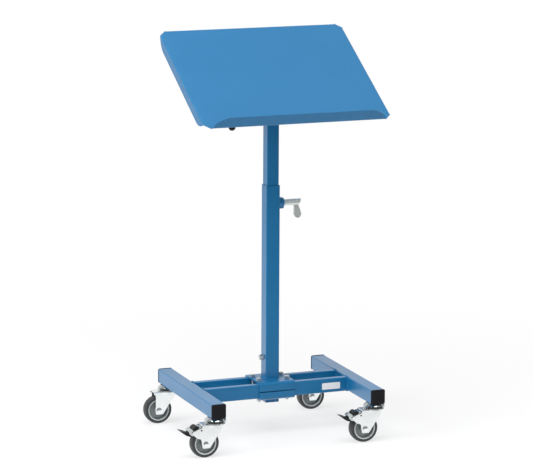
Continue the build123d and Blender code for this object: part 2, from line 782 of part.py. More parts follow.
# Casters
wheel_height = wheel_radius
rim_radius = wheel_radius - tyre_depth
tyre_half = tyre_width / 2
rim_half = tyre_half - rim_inset
hub_half = fork_gap / 2 - hub_gap
tip_front = fork_tip_half - caster_trail
tip_back = -fork_tip_half - caster_trail
tip_low = wheel_height - fork_tip_drop
fork_low_edge = crown_top - crown_depth
for corner, x, y, braked in (
    ("front_left", -rail_x, -caster_y, True),
    ("front_right", rail_x, -caster_y, True),
    ("rear_left", -rail_x, caster_y, False),
    ("rear_right", rail_x, caster_y, False),
):
    side_view = facing_front(x, y, 0)
    swivel_axis = Axis((x, y, 0), (0, 0, 1))
    wheel_axis = Axis((x - caster_trail, y, wheel_height), (0, 1, 0))
    wheel_section = facing_right(x - caster_trail, y, wheel_height)

    # Head: threaded stem, flared upper race and the riveted kingpin
    pin_top = crown_under - slip_gap
    with BuildPart() as caster_head:
        with BuildSketch(side_view):
            with BuildLine():
                Polyline(
                    (0, caster_height + stem_length),
                    (stem_radius, caster_height + stem_length),
                    (stem_radius, caster_height),
                    (race_top_radius, caster_height),
                    (race_radius - race_waist, caster_height - race_slope),
                    (race_radius, race_bottom),
                    (race_radius - race_wall, race_bottom),
                    (race_radius - race_wall - race_waist, race_bottom + race_wall + race_waist),
                    (race_top_radius - race_wall + race_waist, caster_height - race_ceiling),
                    (kingpin_radius, caster_height - race_ceiling),
                    (kingpin_radius, pin_top),
                    (kingpin_head_radius, pin_top),
                    (kingpin_head_radius, pin_top - kingpin_head_height),
                    (0, pin_top - kingpin_head_height),
                    close=True,
                )
            make_face()
        revolve(axis=swivel_axis)
    keep(caster_head, f"caster_head_{corner}")

    # Fork: a pressed crown with two cheeks, longer and open at the back where there is a brake
    plain_back = (
        (tip_back - fork_ear_reach, fork_top),
        (tip_back - fork_ear_reach, fork_top - fork_ear_depth),
        (tip_back, fork_top - fork_ear_depth),
        (tip_back, tip_low),
    )
    braked_back = (
        behind(cheek_top),
        behind(cheek_brow),
        behind(cheek_end),
        behind(cheek_chin),
        behind(cheek_knee),
        behind(cheek_notch),
        (tip_back, tip_low),
    )
    front_line = (
        (tip_front, tip_low),
        (fork_front_reach, fork_top - fork_front_drop),
        (fork_front_reach, fork_top),
    )
    with BuildPart() as fork:
        with BuildSketch(side_view) as outline:
            with BuildLine():
                if braked:
                    Polyline((-brake_skin_end, fork_top), *braked_back, *front_line, close=True)
                else:
                    Polyline(*plain_back, *front_line, close=True)
            make_face()
            fillet(outline.vertices().group_by(Axis.Y)[0], fork_tip_corner)
            if braked:
                fillet(corner_at(outline, cheek_notch), notch_round)
                fillet(corner_at(outline, cheek_end), cheek_round)
                fillet(corner_at(outline, cheek_chin), cheek_round)
        extrude(amount=fork_half, both=True)
        top_edges = fork.faces().filter_by(Axis.Z).sort_by(Axis.Z)[-1].edges().filter_by(Axis.X)
        fillet(top_edges, fork_sheet)
        with BuildSketch(side_view):
            block(-cheek_end[0] - overrun, crown_radius + overrun, 0, crown_under)
        extrude(amount=fork_gap / 2, both=True, mode=Mode.SUBTRACT)
        with BuildSketch(side_view) as dish:
            with BuildLine():
                Polyline(
                    (kingpin_radius + kingpin_gap, crown_under),
                    (kingpin_radius + kingpin_gap, crown_top),
                    (crown_radius, crown_top),
                    (crown_radius, fork_low_edge),
                    (crown_radius - crown_sheet, fork_low_edge),
                    (crown_radius - crown_sheet, crown_under),
                    close=True,
                )
            make_face()
            shoulder = dish.vertices().group_by(Axis.Y)[-1].sort_by(Axis.X)[-1]
            fillet(shoulder, crown_shoulder)
        revolve(axis=swivel_axis)
        with BuildSketch(Plane(origin=(x, y, crown_under - overrun))):
            Circle(kingpin_radius + kingpin_gap)
        extrude(amount=crown_top - crown_under + 2 * overrun, mode=Mode.SUBTRACT)
        with BuildSketch(side_view):
            with Locations((-caster_trail, wheel_height)):
                Circle(axle_radius + pivot_gap)
            if braked:
                with Locations(behind(brake_pivot)):
                    Circle(brake_pin_radius + pivot_gap)
                with Locations(behind(spot_hole)):
                    Circle(spot_hole_radius)
        extrude(amount=fork_half + overrun, both=True, mode=Mode.SUBTRACT)
    keep(fork, f"fork_{corner}")

    # Axle bolt with its nut, and the sleeve that the wheel turns on
    head_y = y - fork_half
    nut_y = y + fork_half
    with BuildPart() as axle_set:
        with BuildSketch(facing_front(x - caster_trail, head_y, wheel_height)):
            hexagon(axle_flats)
        extrude(amount=axle_head_height)
        with BuildSketch(facing_front(x - caster_trail, head_y, wheel_height)):
            Circle(axle_radius)
        extrude(amount=-(2 * fork_half + axle_nut_height + axle_overhang))
        with BuildSketch(facing_front(x - caster_trail, nut_y, wheel_height)):
            hexagon(axle_flats, axle_radius + pivot_gap)
        extrude(amount=-axle_nut_height)
        with BuildSketch(facing_front(x - caster_trail, y, wheel_height)):
            Circle(sleeve_radius)
            Circle(axle_radius + pivot_gap, mode=Mode.SUBTRACT)
        extrude(amount=fork_gap / 2, both=True)
    keep(axle_set, f"axle_set_{corner}")

    # Wheel: plastic rim with a hub and web, and a rubber tyre with a crowned tread
    with BuildPart() as rim:
        with BuildSketch(wheel_section) as rim_section:
            block(-hub_half, hub_half, sleeve_radius + pivot_gap, hub_radius)
            block(-web_thickness / 2, web_thickness / 2, hub_radius, rim_radius - rim_depth)
            block(-rim_half, rim_half, rim_radius - rim_depth, rim_radius)
            rim_floor = rim_radius - rim_depth
            for way in (-1, 1):
                inner_corner = Vector(way * rim_half, rim_floor)
                chamfer(rim_section.vertices().sort_by_distance(inner_corner)[0], rim_bevel)
        revolve(axis=wheel_axis)
    keep(rim, f"rim_{corner}")

    with BuildPart() as tyre:
        with BuildSketch(wheel_section):
            with BuildLine():
                Line((-tyre_half, rim_radius), (tyre_half, rim_radius))
                Line((tyre_half, rim_radius), (tyre_half, wheel_radius - tyre_shoulder - tread_drop))
                shoulder_y = tyre_half - tyre_shoulder
                TangentArc(
                    (tyre_half, wheel_radius - tyre_shoulder - tread_drop),
                    (shoulder_y, wheel_radius - tread_drop),
                    tangent=(0, 1),
                )
                ThreePointArc(
                    (shoulder_y, wheel_radius - tread_drop),
                    (0, wheel_radius),
                    (-shoulder_y, wheel_radius - tread_drop),
                )
                TangentArc(
                    (-tyre_half, wheel_radius - tyre_shoulder - tread_drop),
                    (-shoulder_y, wheel_radius - tread_drop),
                    tangent=(0, 1),
                )
                Line((-tyre_half, wheel_radius - tyre_shoulder - tread_drop), (-tyre_half, rim_radius))
            make_face()
        revolve(axis=wheel_axis)
    keep(tyre, f"tyre_{corner}")

    if not braked:
        continue

    # Brake lever: a pressed channel between the cheeks, hollow from below up to its seat for the pad
    with BuildPart() as brake_lever:
        with BuildSketch(side_view) as lever_side:
            side_outline(
                lever_lip_end,
                lever_lip,
                lever_seat_in,
                lever_seat_out,
                lever_lug_top,
                lever_lug_end,
                lever_lug_low,
                lever_throat,
                lever_chin,
                lever_belly,
                lever_rise,
                lever_back,
            )
            for spot in (lever_lug_top, lever_lug_end, lever_lug_low):
                fillet(corner_at(lever_side, spot), lever_round)
        extrude(amount=lever_width / 2, both=True)
        with BuildSketch(side_view):
            side_outline(
                (lever_lip_end[0] - overrun, lever_lip_end[1] - lever_sheet),
                (lever_lip[0], lever_lip[1] - lever_sheet),
                (lever_seat_in[0], lever_seat_in[1] - lever_sheet),
                (lever_seat_out[0] - lever_sheet, lever_seat_out[1] - lever_sheet),
                (lever_seat_out[0] - lever_sheet, 0),
                (lever_lip_end[0] - overrun, 0),
            )
        extrude(amount=lever_width / 2 - lever_sheet, both=True, mode=Mode.SUBTRACT)
        with BuildSketch(side_view):
            with Locations(behind(brake_pivot)):
                Circle(brake_pin_radius + pivot_gap)
        extrude(amount=lever_width, both=True, mode=Mode.SUBTRACT)
    keep(brake_lever, f"brake_lever_{corner}")

    # Black plastic on the lever: the rounded release pad on top and the blade below its end
    with BuildPart() as brake_pedal:
        with BuildSketch(side_view) as pad_side:
            side_outline(lever_seat_in, pad_back, pad_rise, pad_top, pad_fall, pad_front, lever_seat_out)
            for spot in (pad_back, pad_rise, pad_top, pad_fall, pad_front):
                fillet(corner_at(pad_side, spot), pedal_round)
        extrude(amount=pedal_width / 2, both=True)
        with BuildSketch(side_view) as blade_side:
            side_outline(
                blade_tip,
                blade_top,
                lever_lug_low,
                lever_throat,
                lever_chin,
                blade_heel,
                blade_belly,
            )
            for spot in (blade_heel, blade_belly):
                fillet(corner_at(blade_side, spot), pedal_round)
        extrude(amount=pedal_width / 2, both=True)
    keep(brake_pedal, f"brake_pedal_{corner}")

    with BuildPart() as brake_pin:
        with BuildSketch(facing_front(x - brake_pivot[0], y, brake_pivot[1])):
            Circle(brake_pin_radius)
        extrude(amount=fork_half, both=True)
    keep(brake_pin, f"brake_pin_{corner}")

    with BuildPart() as brake_leaf:
        leaf_radius = wheel_radius + leaf_tread_gap + leaf_sheet / 2
        leaf_level = crown_under - leaf_sheet / 2
        first = math.radians(leaf_start_angle)
        arc_start = (
            -caster_trail + leaf_radius * math.cos(first),
            wheel_height + leaf_radius * math.sin(first),
        )
        with BuildSketch(side_view):
            with BuildLine() as leaf_line:
                Polyline((-leaf_root, leaf_level), (-leaf_bend, leaf_level), arc_start)
                CenterArc(
                    (-caster_trail, wheel_height),
                    leaf_radius,
                    leaf_start_angle,
                    leaf_end_angle - leaf_start_angle,
                )
            trace(line_width=leaf_sheet)
        extrude(amount=leaf_width / 2, both=True)
    keep(brake_leaf, f"brake_leaf_{corner}")
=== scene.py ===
# %% [markdown]
# # A height-adjustable material stand
# The real object is a welded steel stand on four casters. A square mast slides in a square
# column, and a folded sheet tray tilts on top of it. All its steel is powder coated in one blue,
# the casters are bright zinc plate, and a few small parts are black plastic.
#
# The solids come from a CAD model, so this file never moves or reshapes them. It gives them
# their finishes, adds what CAD leaves out (weld beads, screw threads, chamfered hexagons, a
# blank label), and sets up a plain studio.

# %% Load the frame
import json
import math

import bmesh
import bpy
from mathutils import Matrix, Vector


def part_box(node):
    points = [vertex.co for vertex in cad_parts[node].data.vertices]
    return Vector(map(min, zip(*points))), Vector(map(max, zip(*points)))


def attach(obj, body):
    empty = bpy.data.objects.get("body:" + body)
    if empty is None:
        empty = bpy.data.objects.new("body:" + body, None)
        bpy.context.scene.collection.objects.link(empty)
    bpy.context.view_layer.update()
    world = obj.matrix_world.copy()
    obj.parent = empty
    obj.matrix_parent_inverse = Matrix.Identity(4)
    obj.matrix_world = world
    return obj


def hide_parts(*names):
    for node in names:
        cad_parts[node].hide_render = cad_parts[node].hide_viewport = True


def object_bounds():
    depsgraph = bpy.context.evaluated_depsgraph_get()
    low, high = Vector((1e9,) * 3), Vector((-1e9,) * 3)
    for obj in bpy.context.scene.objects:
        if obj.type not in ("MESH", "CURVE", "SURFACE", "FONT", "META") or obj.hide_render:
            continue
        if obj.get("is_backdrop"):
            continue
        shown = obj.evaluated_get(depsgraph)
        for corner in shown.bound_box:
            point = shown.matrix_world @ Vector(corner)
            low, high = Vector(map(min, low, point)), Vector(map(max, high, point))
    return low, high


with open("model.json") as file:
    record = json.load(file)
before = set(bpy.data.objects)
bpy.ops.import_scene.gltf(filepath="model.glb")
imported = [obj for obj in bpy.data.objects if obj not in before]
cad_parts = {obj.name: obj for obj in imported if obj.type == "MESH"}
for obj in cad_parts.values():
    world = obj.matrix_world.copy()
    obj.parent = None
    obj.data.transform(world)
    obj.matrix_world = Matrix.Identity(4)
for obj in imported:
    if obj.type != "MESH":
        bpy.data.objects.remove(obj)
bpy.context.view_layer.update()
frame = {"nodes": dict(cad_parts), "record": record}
MM = 0.001

# %% [markdown]
# ## The camera
# Product shots like this one are taken from far away with a long lens, so that upright edges
# stay upright and parallel. A short lens close by would make the tray look larger than the base.
# The camera is placed by an aim point, a distance and two angles, because those four are easy to
# read back and change one at a time.

# %% Camera
AIM = Vector((-0.0124, 0.0, 0.5692))
DISTANCE = 8.107
AZIMUTH, ELEVATION, ROLL = (math.radians(a) for a in (-21.213, 11.012, 0.245))
FOCAL_PIXELS, PHOTO_WIDTH = 2913.8, 533
SENSOR = 36.0


def camera_axes(azimuth, elevation, roll):
    """Right, up and back directions of a camera that looks at the origin."""
    back = Vector((
        math.sin(azimuth) * math.cos(elevation),
        -math.cos(azimuth) * math.cos(elevation),
        math.sin(elevation),
    ))
    level = Vector((math.cos(azimuth), math.sin(azimuth), 0))
    upright = back.cross(level)
    right = level * math.cos(roll) + upright * math.sin(roll)
    up = upright * math.cos(roll) - level * math.sin(roll)
    return right, up, back


camera_data = bpy.data.cameras.new("studio_camera")
camera_data.sensor_width = SENSOR
camera_data.lens = SENSOR * FOCAL_PIXELS / PHOTO_WIDTH
camera_data.clip_end = 100.0
camera = bpy.data.objects.new("studio_camera", camera_data)
bpy.context.collection.objects.link(camera)
bpy.context.scene.camera = camera
right, up, back = camera_axes(AZIMUTH, ELEVATION, ROLL)
camera.matrix_world = (
    Matrix.Translation(AIM + back * DISTANCE) @ Matrix((right, up, back)).transposed().to_4x4()
)
print("lens", round(camera_data.lens, 1), "mm, camera at", [round(v, 3) for v in camera.location])

# %% [markdown]
# ## Light and floor
# Sheet metal is judged by its soft gradients, so the light is one very large lamp overhead, a
# broad one from the left and a weak fill from the right. The underside of the tray and the mast
# below it fall into its shade, which is what makes them read as being underneath.
#
# What the metal mirrors is a second matter. Bright plating only looks like metal when it has
# something dark to mirror, so shiny surfaces see a dark room above the floor on all sides but
# the rear, and a ceiling a little dimmer than the paper. A light path switch tells the rays
# apart. The left lamp lights the stand but isn't mirrored in it: seen from the far side, its
# glare would blot out the tray against the white.
#
# The floor has to look white without throwing extra light on the stand. The same kind of switch
# does that: only the camera sees the added glow, and the shadow is still there under the wheels.
# Far from the stand, where no shadow falls, the camera sees plain white. Mirrored in the stand,
# the paper is brightest close by and falls off with distance and towards the front, as it does
# in a studio where the lamps hang over the stand. That keeps the rails pale and the mast deep
# blue.


# %% Lamps
STAND_MIDDLE = Vector((0, 0, 0.5))
LAMPS = {  # name: place in metres, width in metres, power in watts
    "overhead": ((-0.9, -1.4, 4.6), 3.9, 195),
    "left_fill": ((-4.6, -0.9, 2.2), 2.6, 125),
    "right_fill": ((4.5, -3.4, 2.2), 2.4, 26),
}


def soft_lamp(name, place, size, power):
    """A square area lamp that points at the stand."""
    data = bpy.data.lights.new(name, "AREA")
    data.shape = "SQUARE"
    data.size = size
    data.energy = power
    lamp = bpy.data.objects.new(name, data)
    bpy.context.collection.objects.link(lamp)
    lamp.location = place
    lamp.rotation_mode = "QUATERNION"
    lamp.rotation_quaternion = (Vector(place) - STAND_MIDDLE).to_track_quat("Z", "Y")
    return lamp


lamps = {name: soft_lamp(name, *settings) for name, settings in LAMPS.items()}
lamps["left_fill"].visible_glossy = False
print("lamps", list(lamps))

# %% [markdown]
# ## Short ways to build node trees
# The world, the paper, every finish and every shape below are node trees. Placing each node by
# hand takes three lines for itself and one for each link. Five small functions do that work, so
# that what is left reads like a list of what the tree holds.


# %% Node helpers
def nodes_of(owner):
    """Turns on an owner's nodes, empties its tree and returns the tree."""
    owner.use_nodes = True
    owner.node_tree.nodes.clear()
    return owner.node_tree


def add(tree, kind, **settings):
    """Adds a node. Names with a capital set an input socket, the others a property."""
    node = tree.nodes.new(kind)
    for key, value in settings.items():
        if key[0].isupper():
            node.inputs[key.replace("_", " ")].default_value = value
        else:
            setattr(node, key, value)
    return node


def join(tree, *pairs):
    """Links output to input for each pair."""
    for source, target in pairs:
        tree.links.new(source, target)


def ramp(tree, value, start, end, low=0.0, high=1.0, smooth=True):
    """A value that goes from low to high while its input goes from start to end."""
    node = add(tree, "ShaderNodeMapRange", From_Min=start, From_Max=end, To_Min=low, To_Max=high)
    if smooth:
        node.interpolation_type = "SMOOTHSTEP"
    join(tree, (value, node.inputs["Value"]))
    return node.outputs[0]


def calc(tree, operation, *values):
    """The result of a math node. Each value is a socket or a plain number."""
    node = add(tree, "ShaderNodeMath", operation=operation)
    for place, value in enumerate(values):
        if isinstance(value, (int, float)):
            node.inputs[place].default_value = value
        else:
            tree.links.new(value, node.inputs[place])
    return node.outputs[0]


print("node helpers ready")

# %% World
WHITE = (1, 1, 1, 1)
ROOM_FILL = 0.40
ROOM_DARK = 0.10
CEILING_SHINE = 0.6
# The edges of the dark room and the ceiling, as shares of a direction of length 1
REAR_EDGE = (0.80, 0.45)
FLOOR_EDGE = (-0.10, 0.02)
LAMP_EDGE = (0.62, 0.40)
CEILING_EDGE = (0.45, 0.75)


def studio_world():
    """White to the camera, even to matt surfaces, and a dark room to shiny ones."""
    world = bpy.data.worlds.new("studio")
    tree = nodes_of(world)
    path = add(tree, "ShaderNodeLightPath")
    white = add(tree, "ShaderNodeBackground", Color=WHITE, Strength=1.0)
    plain = add(tree, "ShaderNodeBackground", Color=WHITE, Strength=ROOM_FILL)
    shiny = add(tree, "ShaderNodeBackground", Color=WHITE)
    place = add(tree, "ShaderNodeTexCoord")
    split = add(tree, "ShaderNodeSeparateXYZ")
    join(tree, (place.outputs["Generated"], split.inputs[0]))
    to_rear, upward = split.outputs["Y"], split.outputs["Z"]
    off_rear = ramp(tree, to_rear, *REAR_EDGE)
    above_floor = ramp(tree, upward, *FLOOR_EDGE)
    below_lamps = ramp(tree, upward, *LAMP_EDGE)
    room = calc(tree, "MULTIPLY", calc(tree, "MULTIPLY", off_rear, above_floor), below_lamps)
    ceiling = ramp(tree, upward, *CEILING_EDGE, 1.0, CEILING_SHINE)
    dimmed = ramp(tree, room, 0.0, 1.0, 1.0, ROOM_DARK, False)
    strength = calc(tree, "MULTIPLY", dimmed, ceiling)
    join(tree, (strength, shiny.inputs["Strength"]))
    first = add(tree, "ShaderNodeMixShader")
    second = add(tree, "ShaderNodeMixShader")
    out = add(tree, "ShaderNodeOutputWorld")
    join(
        tree,
        (path.outputs["Is Glossy Ray"], first.inputs[0]),
        (plain.outputs[0], first.inputs[1]),
        (shiny.outputs[0], first.inputs[2]),
        (path.outputs["Is Camera Ray"], second.inputs[0]),
        (first.outputs[0], second.inputs[1]),
        (white.outputs[0], second.inputs[2]),
        (second.outputs[0], out.inputs[0]),
    )
    return world


bpy.context.scene.world = studio_world()
print("world", bpy.context.scene.world.name)

# %% Paper under the stand
PAPER = (0.8, 0.8, 0.8, 1)
PAPER_GLOW = 1.08
GLOW_SHARE = 0.62
# Metres from the middle between which the paper turns plain white, and its shine falls off
WHITE_EDGE = (0.7, 1.9)
SHINE_EDGE = (0.8, 3.0)
NEAR_SHINE, FAR_SHINE = 1.2, 0.75
# The same along Y, for the dark part in front of the stand
FRONT_EDGE = (-0.35, -1.9)
FRONT_SHARE = 0.04
FLOOR_REACH = 40
FLOOR_GAP = 0.2 * MM


def studio_paper():
    """Matt paper that shows the shadow, with a glow for the camera and a shine for metal."""
    material = bpy.data.materials.new("studio_paper")
    tree = nodes_of(material)
    path = add(tree, "ShaderNodeLightPath")
    matt = add(tree, "ShaderNodeBsdfDiffuse", Color=PAPER)
    glow = add(tree, "ShaderNodeEmission", Strength=PAPER_GLOW)
    plain_white = add(tree, "ShaderNodeEmission", Strength=1.0)
    shine = add(tree, "ShaderNodeEmission")
    place = add(tree, "ShaderNodeTexCoord")
    split = add(tree, "ShaderNodeSeparateXYZ")
    length = add(tree, "ShaderNodeVectorMath", operation="LENGTH")
    paper = add(tree, "ShaderNodeMixShader", Fac=GLOW_SHARE)
    seen = add(tree, "ShaderNodeMixShader")
    bounced = add(tree, "ShaderNodeMixShader")
    total = add(tree, "ShaderNodeMixShader")
    out = add(tree, "ShaderNodeOutputMaterial")
    far = length.outputs["Value"]
    join(
        tree,
        (place.outputs["Object"], length.inputs[0]),
        (place.outputs["Object"], split.inputs[0]),
        (matt.outputs[0], paper.inputs[1]),
        (glow.outputs[0], paper.inputs[2]),
        (ramp(tree, far, *WHITE_EDGE), seen.inputs[0]),
        (paper.outputs[0], seen.inputs[1]),
        (plain_white.outputs[0], seen.inputs[2]),
    )
    all_round = ramp(tree, far, *SHINE_EDGE, NEAR_SHINE, FAR_SHINE)
    in_front = ramp(tree, split.outputs["Y"], *FRONT_EDGE, 1.0, FRONT_SHARE, False)
    join(
        tree,
        (calc(tree, "MULTIPLY", all_round, in_front), shine.inputs["Strength"]),
        (path.outputs["Is Glossy Ray"], bounced.inputs[0]),
        (matt.outputs[0], bounced.inputs[1]),
        (shine.outputs[0], bounced.inputs[2]),
        (path.outputs["Is Camera Ray"], total.inputs[0]),
        (bounced.outputs[0], total.inputs[1]),
        (seen.outputs[0], total.inputs[2]),
        (total.outputs[0], out.inputs[0]),
    )
    return material


floor_mesh = bpy.data.meshes.new("studio_floor")
floor_mesh.from_pydata(
    [(x * FLOOR_REACH, y * FLOOR_REACH, 0) for x, y in ((-1, -1), (1, -1), (1, 1), (-1, 1))],
    [],
    [(0, 1, 2, 3)],
)
floor = bpy.data.objects.new("studio_floor", floor_mesh)
bpy.context.collection.objects.link(floor)
floor.location.z = -FLOOR_GAP
floor_mesh.materials.append(studio_paper())
floor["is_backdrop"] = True
bpy.context.scene.view_settings.view_transform = "Standard"
print("floor", floor.name, "reaches", FLOOR_REACH, "m each way")

# %% [markdown]
# ## Shared surface effects
# No real surface is perfectly even. Powder coat has a faint orange peel, plating has cloudy
# patches where it is a little duller, and moulded plastic has a fine grain. All three are noise
# at different sizes, so two shader groups serve every finish: one gives a height for bumps, the
# other gives a soft mask that a material uses for its colour and its roughness.
#
# A group could also hold the shader itself, but then one material could no longer set its own
# gloss. So the groups only put out numbers, and each material keeps its own Principled shader.


# %% Surface groups
def socket(group, name, way, kind="NodeSocketFloat", start=None):
    """Adds one named socket to a node group."""
    made = group.interface.new_socket(name=name, in_out=way, socket_type=kind)
    if start is not None:
        made.default_value = start
    return made


def peel_group():
    """Two sizes of noise added to one height, for the skin of paint or plastic."""
    group = bpy.data.node_groups.new("surface_peel", "ShaderNodeTree")
    socket(group, "Place", "INPUT", "NodeSocketVector")
    socket(group, "Coarse", "INPUT", start=300.0)
    socket(group, "Fine", "INPUT", start=1500.0)
    socket(group, "Fine Share", "INPUT", start=0.4)
    socket(group, "Height", "OUTPUT")
    into = add(group, "NodeGroupInput")
    out = add(group, "NodeGroupOutput")
    coarse = add(group, "ShaderNodeTexNoise", Detail=2.0)
    fine = add(group, "ShaderNodeTexNoise", Detail=1.0)
    blend = add(group, "ShaderNodeMix", data_type="FLOAT")
    join(
        group,
        (into.outputs["Place"], coarse.inputs["Vector"]),
        (into.outputs["Place"], fine.inputs["Vector"]),
        (into.outputs["Coarse"], coarse.inputs["Scale"]),
        (into.outputs["Fine"], fine.inputs["Scale"]),
        (into.outputs["Fine Share"], blend.inputs[0]),
        (coarse.outputs["Fac"], blend.inputs[2]),
        (fine.outputs["Fac"], blend.inputs[3]),
        (blend.outputs[0], out.inputs["Height"]),
    )
    return group


def cloud_group():
    """A soft cloudy mask, with the roughness that goes with it."""
    group = bpy.data.node_groups.new("surface_clouds", "ShaderNodeTree")
    socket(group, "Place", "INPUT", "NodeSocketVector")
    socket(group, "Size", "INPUT", start=8.0)
    socket(group, "Sharpness", "INPUT", start=0.3)
    socket(group, "Least Roughness", "INPUT", start=0.3)
    socket(group, "Most Roughness", "INPUT", start=0.4)
    socket(group, "Mask", "OUTPUT")
    socket(group, "Roughness", "OUTPUT")
    into = add(group, "NodeGroupInput")
    out = add(group, "NodeGroupOutput")
    noise = add(group, "ShaderNodeTexNoise", Detail=4.0, Roughness=0.55)
    low = add(group, "ShaderNodeMath", operation="MULTIPLY_ADD")
    low.inputs[1].default_value = 0.5
    low.inputs[2].default_value = 0.0
    high = add(group, "ShaderNodeMath", operation="SUBTRACT")
    high.inputs[0].default_value = 1.0
    mask = add(group, "ShaderNodeMapRange", interpolation_type="SMOOTHSTEP")
    rough = add(group, "ShaderNodeMapRange")
    join(
        group,
        (into.outputs["Place"], noise.inputs["Vector"]),
        (into.outputs["Size"], noise.inputs["Scale"]),
        (into.outputs["Sharpness"], low.inputs[0]),
        (low.outputs[0], high.inputs[1]),
        (noise.outputs["Fac"], mask.inputs["Value"]),
        (low.outputs[0], mask.inputs["From Min"]),
        (high.outputs[0], mask.inputs["From Max"]),
        (mask.outputs[0], out.inputs["Mask"]),
        (mask.outputs[0], rough.inputs["Value"]),
        (into.outputs["Least Roughness"], rough.inputs["To Min"]),
        (into.outputs["Most Roughness"], rough.inputs["To Max"]),
        (rough.outputs[0], out.inputs["Roughness"]),
    )
    return group


peel = peel_group()
clouds = cloud_group()
print("groups", peel.name, clouds.name)

# %% [markdown]
# ## The finishes
# Every finish below is the same small recipe: two near colours mixed by the cloud mask, a
# roughness that moves with it, and a bump so fine that it only breaks up the highlights. What
# tells paint from plate from rubber is the numbers, so they stand together in one cell. Pictures
# wrapped on the solids could do the same, but each solid would have to be unwrapped first, and
# a picture of paint blurs up close. Noise in object coordinates needs neither.
#
# Powder coat needs one thing more. Seen straight on it shows its full deep colour, and only at
# a glancing angle it turns pale, more so than the plain shader does. A layer weight raises the
# specular level towards the edge of view, for the finishes that ask for it.
#
# The rims are one piece of grey plastic. Their finish colours the outer flange paler than the
# recessed web inside it, by its distance from the wheel's middle, so the solid stays whole. The
# pale flange is painted light, and the darker web is painted shade for the recess under the fork.


# %% Finish recipe
GLANCE_EDGE = (0.15, 0.75)
FLANGE_EDGE = (1.5 * MM, 0.5 * MM)


def finish(name, colours, rough, cloud_size=9.0, sharp=0.35, bump=0.1, grain=(300, 1500, 0.4),
           depth=0.0002, glance=None, **shader):
    """A material from the two surface groups. Extra names set the shader's own sockets."""
    material = bpy.data.materials.new(name)
    tree = nodes_of(material)
    place = add(tree, "ShaderNodeTexCoord")
    cloud = add(
        tree, "ShaderNodeGroup", node_tree=clouds, Size=cloud_size, Sharpness=sharp,
        Least_Roughness=rough[0], Most_Roughness=rough[1],
    )
    skin = add(
        tree, "ShaderNodeGroup", node_tree=peel, Coarse=grain[0], Fine=grain[1], Fine_Share=grain[2]
    )
    mix = add(tree, "ShaderNodeMix", data_type="RGBA")
    mix.name = "colour"
    mix.inputs[6].default_value = (*colours[0], 1)
    mix.inputs[7].default_value = (*colours[1], 1)
    bumps = add(tree, "ShaderNodeBump", Strength=bump, Distance=depth)
    shade = add(tree, "ShaderNodeBsdfPrincipled", **shader)
    out = add(tree, "ShaderNodeOutputMaterial")
    join(
        tree,
        (place.outputs["Object"], cloud.inputs["Place"]),
        (place.outputs["Object"], skin.inputs["Place"]),
        (cloud.outputs["Mask"], mix.inputs[0]),
        (mix.outputs[2], shade.inputs["Base Color"]),
        (cloud.outputs["Roughness"], shade.inputs["Roughness"]),
        (skin.outputs["Height"], bumps.inputs["Height"]),
        (bumps.outputs[0], shade.inputs["Normal"]),
        (shade.outputs[0], out.inputs["Surface"]),
    )
    if glance:
        facing = add(tree, "ShaderNodeLayerWeight")
        level = ramp(tree, facing.outputs["Facing"], *GLANCE_EDGE, *glance)
        join(tree, (level, shade.inputs["Specular IOR Level"]))
    material.diffuse_color = (*colours[0], 1)
    return material


def painted_light_flange(material, colour, wheel_y, flange):
    """Paints the outer flange of each wheel paler than its recess, by the distance from its middle:
    painted light on the flange, painted shade in the recess.
    """
    tree = material.node_tree
    place = add(tree, "ShaderNodeTexCoord")
    split = add(tree, "ShaderNodeSeparateXYZ")
    join(tree, (place.outputs["Object"], split.inputs[0]))
    to_wheel = calc(tree, "SUBTRACT", calc(tree, "ABSOLUTE", split.outputs["Y"]), wheel_y)
    outward = calc(tree, "ABSOLUTE", to_wheel)
    mix = add(tree, "ShaderNodeMix", data_type="RGBA")
    mix.inputs[7].default_value = (*colour, 1)
    shade = next(node for node in tree.nodes if node.type == "BSDF_PRINCIPLED")
    join(
        tree,
        (ramp(tree, outward, *(flange - depth for depth in FLANGE_EDGE)), mix.inputs[0]),
        (tree.nodes["colour"].outputs[2], mix.inputs[6]),
        (mix.outputs[2], shade.inputs["Base Color"]),
    )


# %% The finishes of this stand
blue_coat = finish(
    "blue_powder_coat", ((0.003, 0.140, 0.325), (0.005, 0.148, 0.340)), (0.30, 0.38),
    cloud_size=6.0, bump=0.16, grain=(420, 1400, 0.35), depth=0.0003, glance=(0.38, 1.0),
    Coat_Weight=0.05, Coat_Roughness=0.16,
)
bright_zinc = finish(
    "bright_zinc", ((0.80, 0.82, 0.82), (0.75, 0.78, 0.78)), (0.16, 0.26),
    cloud_size=40.0, sharp=0.1, bump=0.06, grain=(500, 2600, 0.5), Metallic=0.9,
)
# Darker and glossier zinc. On the brake lever and leaf inside the fork, its darker colour is also
# painted shade.
dark_zinc = finish(
    "polished_zinc", ((0.56, 0.60, 0.60), (0.48, 0.52, 0.52)), (0.08, 0.16),
    cloud_size=60.0, sharp=0.2, bump=0.05, grain=(500, 2600, 0.5), Metallic=1.0,
)
# Partly painted shade: the ball races are coloured dark for the grease on them and for the deep
# shade in the gaps above and below the crown dish.
greasy_steel = finish(
    "greasy_steel", ((0.20, 0.22, 0.21), (0.13, 0.14, 0.135)), (0.20, 0.34),
    cloud_size=160.0, bump=0.1, grain=(900, 3000, 0.5), Metallic=0.9,
)
bolt_zinc = finish(
    "plated_screw", ((0.62, 0.64, 0.64), (0.52, 0.54, 0.55)), (0.22, 0.34),
    cloud_size=120.0, bump=0.08, grain=(900, 3000, 0.5), Metallic=0.9,
)
steel_rod = finish(
    "turned_steel", ((0.66, 0.67, 0.68), (0.58, 0.59, 0.61)), (0.20, 0.34),
    cloud_size=80.0, bump=0.1, grain=(900, 3000, 0.5), Metallic=1.0,
)
cast_grip = finish(
    "die_cast_grip", ((0.82, 0.86, 0.83), (0.70, 0.75, 0.72)), (0.24, 0.40),
    cloud_size=70.0, bump=0.3, grain=(260, 1500, 0.35), depth=0.0004, Metallic=0.55,
)
